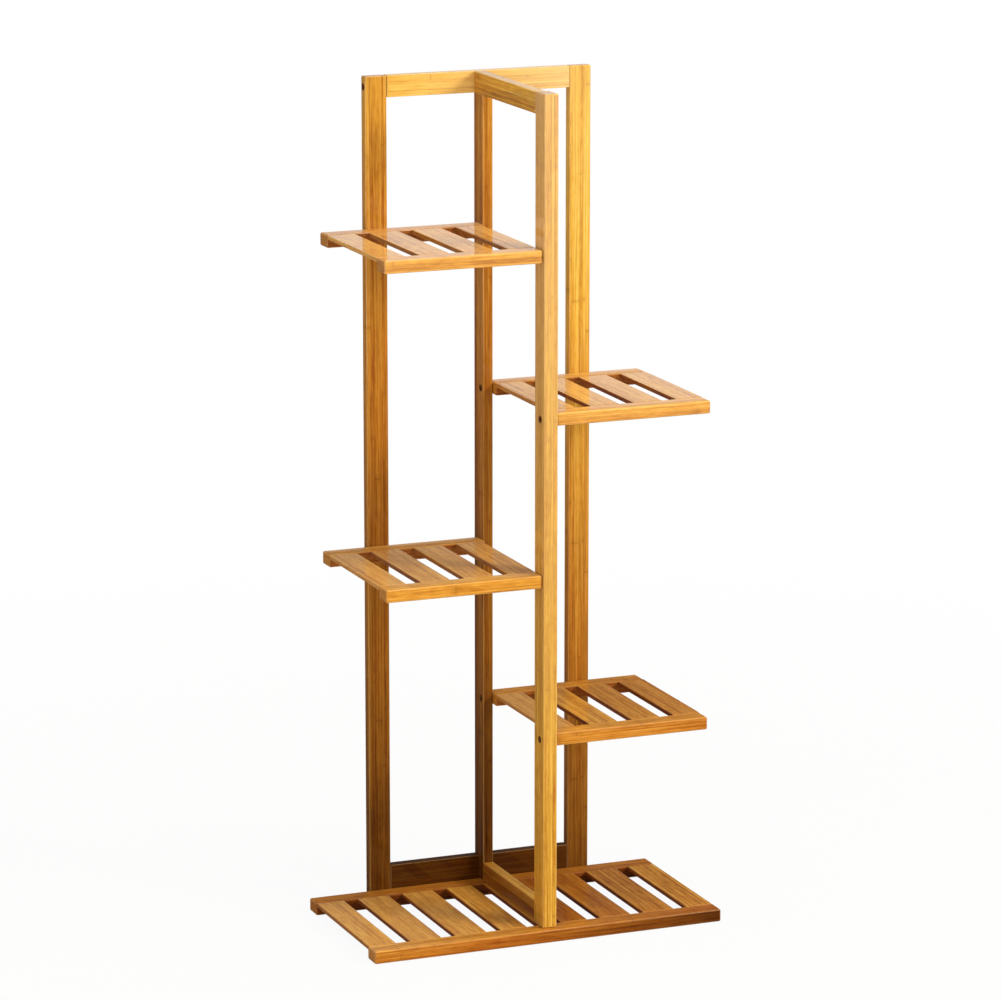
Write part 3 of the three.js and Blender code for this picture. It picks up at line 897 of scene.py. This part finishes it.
def make_screw(long):
    """A pan head with a cross recess, on a plain shank with a point. Its way in is +Z."""
    screw = new_object("screw_form", lathe("screw", [
        (0, 0),
        (HEAD_RADIUS - 2 * HEAD_EASE, 0),
        (HEAD_RADIUS - 0.6 * HEAD_EASE, 0.4 * HEAD_EASE),
        (HEAD_RADIUS, 1.4 * HEAD_EASE),
        (HEAD_RADIUS, HEAD_TALL),
        (SHANK_RADIUS, HEAD_TALL),
        (SHANK_RADIUS, long - SCREW_TIP),
        (0, long),
    ], SCREW_SIDES))
    arms = []
    for long_axis, wide_axis in ((RECESS_LONG, RECESS_WIDE), (RECESS_WIDE, RECESS_LONG)):
        reach = Vector((long_axis / 2, wide_axis / 2, RECESS_DEEP))
        arms.append(block_mesh(-reach, reach))
    cutters = cut_away(screw, "recess", arms, SCREW_STEEL)
    settle(screw)
    remove_all(cutters)
    drop_slivers(screw.data)
    return screw


def place_screws():
    """All the screws as one mesh, which stands for the screws of the frame."""
    longest = max(long for _, _, _, long in SCREW_PLACES)
    form = make_screw(longest)
    points = bpy.data.meshes.new("screw_points")
    points.from_pydata([head for _, head, _, _ in SCREW_PLACES], [], [])
    ways = [part for _, _, way, _ in SCREW_PLACES for part in way]
    points.attributes.new("into", "FLOAT_VECTOR", "POINT").data.foreach_set("vector", ways)
    stretches = [long / longest for _, _, _, long in SCREW_PLACES]
    points.attributes.new("stretch", "FLOAT", "POINT").data.foreach_set("value", stretches)
    screws = new_object("sunk_screws", points)
    attach(screws, SCREWS, {"Screw": form, "Material": SCREW_STEEL})
    settle(screws)
    screws.data.set_sharp_from_angle(angle=SHARP_ANGLE)
    remove_all([form])
    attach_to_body(screws, "root")
    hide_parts(*[name for name, _, _, _ in SCREW_PLACES])


# ---- Boards -------------------------------------------------------------------------

def touches(place, low, high):
    """Whether a screw's hole reaches into a board's box."""
    _, head, way, long = place
    ends = [head - way * SUNK, head + way * long]
    for axis in range(3):
        side = 0 if abs(way[axis]) > 0.5 else PILOT_RADIUS
        if max(end[axis] for end in ends) + side <= low[axis]:
            return False
        if min(end[axis] for end in ends) - side >= high[axis]:
            return False
    return True


def keep_faces_flat(obj):
    flat = obj.modifiers.new("flat faces", "WEIGHTED_NORMAL")
    flat.keep_sharp = True


def stand_for(obj, nodes):
    """Lets a finished piece stand for its nodes of the frame."""
    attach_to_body(obj, "root")
    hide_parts(*nodes)


def make_board(node, along, across, look, seed, tones, shade=None, notch=None,
               front_shade=0.0):
    """A rounded board in the place of a frame node, with its screw holes cut.

    The look is its edge radius, material and slot; the slot is not used. Shade holds the
    strengths of the painted shade on its low and high sides, and notch the low and high
    corner of a block to cut away. A shaded front takes the tone of its front face down,
    as painted shade.
    """
    radius, material, slot = look
    shade_low, shade_high = shade or (Vector(), Vector())
    low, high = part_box(node)
    board = new_object("bamboo_" + node, bpy.data.meshes.new(node))
    attach(board, BOARD, {
        "Low corner": low, "High corner": high, "Edge radius": radius,
        "Material": material,
    })
    holes = [screw_hole(place) for place in SCREW_PLACES if touches(place, low, high)]
    cutters = cut_away(board, "hole", holes, BORED_BAMBOO)
    if cutters:
        rim = board.modifiers.new("rim", "BEVEL")
        rim.width = RIM_EASE
        rim.segments = 2
        rim.limit_method = "ANGLE"
        rim.angle_limit = RIM_ANGLE
    if notch:
        cutters += cut_away(board, "notch", [block_mesh(*notch)], BORED_BAMBOO)
    attach(board, GRAIN, {
        "Centre": (low + high) / 2, "Half": (high - low) / 2,
        "Along": along, "Across": across, "Through": along.cross(across),
        "Radius": radius, "Seed": float(seed),
        "Low end tone": tones[0], "Middle tone": tones[1], "High end tone": tones[2],
        "Raw low sides": shade_low, "Raw high sides": shade_high,
        "Browner front": front_shade,
    })
    keep_faces_flat(board)
    settle(board)
    remove_all(cutters)
    stand_for(board, [node])


def make_slats(deck, numbers, seed, tones, shade):
    """A run of neighbouring slats of one deck, between its two rails."""
    nodes = [f"{deck}_slat_{number}" for number in numbers]
    boxes = [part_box(node) for node in nodes]
    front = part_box(f"{deck}_front_rail")[1].y + JOINT_GAP
    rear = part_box(f"{deck}_rear_rail")[0].y - JOINT_GAP
    top = boxes[0][1].z
    outer, inner = [box[1].x - box[0].x for box in (boxes[0], boxes[len(boxes) // 2])]
    name = f"bamboo_{deck}_slats_from_{numbers[0]}"
    row = new_object(name, bpy.data.meshes.new(name))
    attach(row, SLAT_ROW, {
        "Low corner": Vector((boxes[0][0].x, front, top - SLAT_THICK)),
        "High corner": Vector((boxes[-1][1].x, rear, top)),
        "Count": len(nodes), "Outer width": outer, "Inner width": inner,
        "Edge radius": SLAT_EDGE, "Seed": float(seed),
        "First tone": tones[0], "Last tone": tones[1],
        "First side raw": shade[0], "Inner sides raw": shade[1], "Last side raw": shade[2],
        "Material": SLAT_BAMBOO,
    })
    keep_faces_flat(row)
    settle(row)
    stand_for(row, nodes)


# ---- The stand ----------------------------------------------------------------------

# A board's seed, its tone at its low end, its middle and its high end, where -1 is darkest,
# 0 plain and 1 palest, and how much darker a rail is made on its front face than on its top,
# as painted shade. The tones are partly the boards' own and partly painted shade and light:
# darker low down and where plants and pots shaded them, lighter high up.
RAILS = {
    "base_front_rail": (15, (0.2, -0.35, -0.52), 0.45),
    "base_rear_rail": (16, (-0.3, -0.35, -0.35), 0.0),
    "shelf_1_front_rail": (21, (0.15, 0.2, 0.15), 0.05),
    "shelf_1_rear_rail": (23, (0.05, 0.05, 0.05), 0.0),
    "shelf_2_front_rail": (28, (0.1, 0.15, 0.1), 0.0),
    "shelf_2_rear_rail": (31, (0.0, 0.1, 0.1), 0.0),
    "shelf_3_front_rail": (38, (0.05, 0.1, 0.1), 0.15),
    "shelf_3_rear_rail": (39, (0.05, 0.05, 0.05), 0.0),
    "shelf_4_front_rail": (44, (0.05, 0.0, -0.15), 0.3),
    "shelf_4_rear_rail": (47, (0.0, 0.0, -0.1), 0.0),
}
# Each shelf deck's tones at its first and last slat, partly their own and partly painted shade
# and light.
SHELF_SLAT_TONES = ((0.15, 0.05), (0.1, 0.25), (0.2, 0.15), (0.15, -0.25))
# How much painted shade a deck's slats get on the first one's outer side, in the gaps and on
# the last one's outer side, and its rails on their sides in the gaps.
SHELF_SLAT_SHADE = ((0.1, 0.6, 0.3), (0.4, 0.9, 0.1), (0.3, 0.75, 0.3), (0.5, 0.9, 0.1))
RAIL_GAP_SHADE = 0.8
RAIL_LOOK = (RAIL_EDGE, RAIL_BAMBOO, "bamboo_rail")
UPRIGHT_LOOK = (UPRIGHT_EDGE, FRAME_BAMBOO, "bamboo_frame")
CROSS_RAIL_LOOK = (CROSS_RAIL_EDGE, FRAME_BAMBOO, "bamboo_frame")

place_screws()
# Each rail's front face is made darker than its top as painted shade.
for node, (seed, tones, front_shading) in RAILS.items():
    is_front = node.endswith("front_rail")
    # Painted shade on each rail's inner side, which faces the gaps.
    shade = (Vector(), Y * RAIL_GAP_SHADE) if is_front else (Y * RAIL_GAP_SHADE, Vector())
    make_board(node, X, Z, RAIL_LOOK, seed, tones, shade, front_shade=front_shading)

# The base's slats, darker towards the right partly as painted shade, with painted shade on
# their sides.
make_slats("base", [1, 2, 3, 4], 101, (0.18, 0.03), (0.7, 0.9, 0.9))
make_slats("base", [5], 120, (-0.2, -0.2), (0.9, 0.9, 0.9))
make_slats("base", [6, 7, 8, 9], 131, (-0.55, -0.1), (0.9, 0.9, 0.4))
for index, (tones, shade) in enumerate(zip(SHELF_SLAT_TONES, SHELF_SLAT_SHADE)):
    make_slats(f"shelf_{index + 1}", [1, 2, 3, 4], 151 + 10 * index, tones, shade)


def rail_notch():
    """The block that the middle upright leaves free for the rear frame's bottom rail."""
    rail_low, rail_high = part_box("rear_bottom_rail")
    low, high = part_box("middle_upright")
    margin = 5 * MM
    return (
        Vector((low.x - margin, rail_low.y - JOINT_GAP, low.z - margin)),
        Vector((high.x + margin, rail_high.y + margin, rail_high.z + JOINT_GAP)),
    )


# An upright's seed and its tones at its low end, middle and high end: partly its own, and
# partly painted shade low down and where plants and pots shaded it, and painted light high up.
UPRIGHTS = {
    "front_upright": (61, (-0.05, 0.05, 0.35)),
    "middle_upright": (66, (-1.0, -0.5, -0.4)),
    "rear_upright_left": (71, (-0.95, -0.55, -0.25)),
    "rear_upright_right": (77, (-0.9, -0.15, 0.15)),
}
# A cross rail's seed, the way it runs, its tones as above, and the painted shade on its left
# side. The rear bottom rail is so dark mostly as painted shade.
CROSS_RAILS = {
    "rear_top_rail": (81, X, (0.05, 0.3, 0.5), 0.0),
    "rear_bottom_rail": (86, X, (-1.0, -1.0, -1.0), 0.0),
    "centre_top_rail": (91, Y, (0.05, -0.1, -0.25), 0.0),
    "centre_bottom_rail": (99, Y, (-0.1, -0.2, -0.3), 0.75),
}
for node, (seed, tones) in UPRIGHTS.items():
    notch = rail_notch() if node == "middle_upright" else None
    make_board(node, Z, X, UPRIGHT_LOOK, seed, tones, notch=notch)
for node, (seed, along, tones, left_shade) in CROSS_RAILS.items():
    make_board(node, along, Z, CROSS_RAIL_LOOK, seed, tones, (X * left_shade, Vector()))


# ---- Stage, light and camera --------------------------------------------------------

def pale_floor():
    """A matt white floor that keeps a soft shadow and shows near white."""
    material, tree = new_material("matt_white_floor")
    path = add(tree, "ShaderNodeLightPath")
    where = add(tree, "ShaderNodeTexCoord")
    far = add(tree, "ShaderNodeVectorMath", {0: where.outputs["Object"]},
              operation="LENGTH").outputs["Value"]
    white = add(tree, "ShaderNodeMapRange", {
        "Value": far, "From Min": 0.3, "From Max": 2.2, "To Min": 0.94, "To Max": 1.0,
    }, interpolation_type="SMOOTHSTEP")
    share = add(tree, "ShaderNodeMath", {
        0: path.outputs["Is Camera Ray"], 1: white, 2: path.outputs["Is Glossy Ray"],
    }, operation="MULTIPLY_ADD")
    mirrored = add(tree, "ShaderNodeMapRange", {
        "Value": far, "From Min": 0.6, "From Max": 4.0, "To Min": 0.04, "To Max": 0.09,
    })
    glow_strength = add(tree, "ShaderNodeMath", {
        0: path.outputs["Is Glossy Ray"], 1: mirrored, 2: path.outputs["Is Camera Ray"],
    }, operation="MULTIPLY_ADD")
    paint = add(tree, "ShaderNodeBsdfDiffuse", {"Color": linear("#D2D0CC")})
    glow = add(tree, "ShaderNodeEmission", {
        "Color": (1, 1, 1, 1), "Strength": glow_strength,
    })
    mixed = add(tree, "ShaderNodeMixShader", {0: share, 1: paint, 2: glow})
    add(tree, "ShaderNodeOutputMaterial", {"Surface": mixed})
    return material


def make_floor():
    """A flat floor out to the horizon, a hair below the stand's feet."""
    reach = 40.0
    sunk = 0.5 * MM
    mesh = bpy.data.meshes.new("floor")
    corners = [(-reach, -reach), (reach, -reach), (reach, reach), (-reach, reach)]
    mesh.from_pydata([(x, y, -sunk) for x, y in corners], [], [(0, 1, 2, 3)])
    mesh.materials.append(pale_floor())
    floor = new_object("floor", mesh)


def make_world():
    """White to the eye and low in reflections, dark high in them, and a soft even light."""
    world = bpy.data.worlds.new("white_studio")
    bpy.context.scene.world = world
    world.use_nodes = True
    tree = world.node_tree
    tree.nodes.clear()
    even_light = 0.32
    path = add(tree, "ShaderNodeLightPath")
    where = add(tree, "ShaderNodeTexCoord")
    height = add(tree, "ShaderNodeSeparateXYZ", {0: where.outputs["Generated"]}).outputs[2]
    backdrop = add(tree, "ShaderNodeMapRange", {
        "Value": height,
        "From Min": 0.18,
        "From Max": 0.245,
        "To Min": 0.68 - even_light,
        "To Max": 0.05 - even_light,
    }, interpolation_type="SMOOTHSTEP")
    lit = add(tree, "ShaderNodeMath", {
        0: path.outputs["Is Glossy Ray"], 1: backdrop, 2: even_light,
    }, operation="MULTIPLY_ADD")
    strength = add(tree, "ShaderNodeMath", {0: path.outputs["Is Camera Ray"], 1: lit},
                   operation="MAXIMUM")
    sky = add(tree, "ShaderNodeBackground", {"Color": (1, 1, 1, 1), "Strength": strength})
    add(tree, "ShaderNodeOutputWorld", {"Surface": sky})


def make_softbox(name, place, target, size, power, colour):
    lamp = bpy.data.lights.new(name, "AREA")
    lamp.shape = "SQUARE"
    lamp.size = size
    lamp.energy = power
    lamp.color = linear(colour)[:3]
    obj = bpy.data.objects.new(name, lamp)
    bpy.context.scene.collection.objects.link(obj)
    obj.location = place
    obj.rotation_euler = (Vector(target) - Vector(place)).to_track_quat("-Z", "Y").to_euler()


def make_camera():
    """The photograph's view: from the front, a little left of it and above."""
    azimuth = math.radians(-21.93)
    elevation = math.radians(12.72)
    focal_px = 4770.0
    frame_px = 1001.0
    distance = 5.4743
    aim = Vector((0, -0.0064, 0.490))
    aim_px = (514.84, 507.42)
    middle_px = frame_px / 2
    back = Vector((math.sin(azimuth) * math.cos(elevation),
                   -math.cos(azimuth) * math.cos(elevation), math.sin(elevation)))
    right = Vector((math.cos(azimuth), math.sin(azimuth), 0))
    up = back.cross(right)
    per_px = distance / focal_px
    place = aim + back * distance
    place -= right * (aim_px[0] - middle_px) * per_px
    place += up * (aim_px[1] - middle_px) * per_px
    camera = bpy.data.objects.new("camera", bpy.data.cameras.new("camera"))
    bpy.context.scene.collection.objects.link(camera)
    camera.data.sensor_fit = "HORIZONTAL"
    camera.data.sensor_width = 36.0
    camera.data.lens = focal_px / frame_px * 36.0
    camera.data.clip_end = 50.0
    turn = Matrix((right, up, back)).transposed()
    camera.matrix_world = Matrix.Translation(place) @ turn.to_4x4()
    bpy.context.scene.camera = camera


make_floor()
make_world()
make_softbox("key", (3.78, -3.96, 3.48), (0, 0, 0.6), 2.0, 352, "#FFF8EE")
make_softbox("overhead", (0.0, -0.4, 3.2), (0, 0, 0), 1.8, 52, "#FFFBF6")
make_softbox("fill", (-2.6, -1.6, 0.8), (0, 0, 0.3), 1.6, 38, "#FFF3E0")
make_camera()
bpy.context.scene.view_settings.view_transform = "Standard"
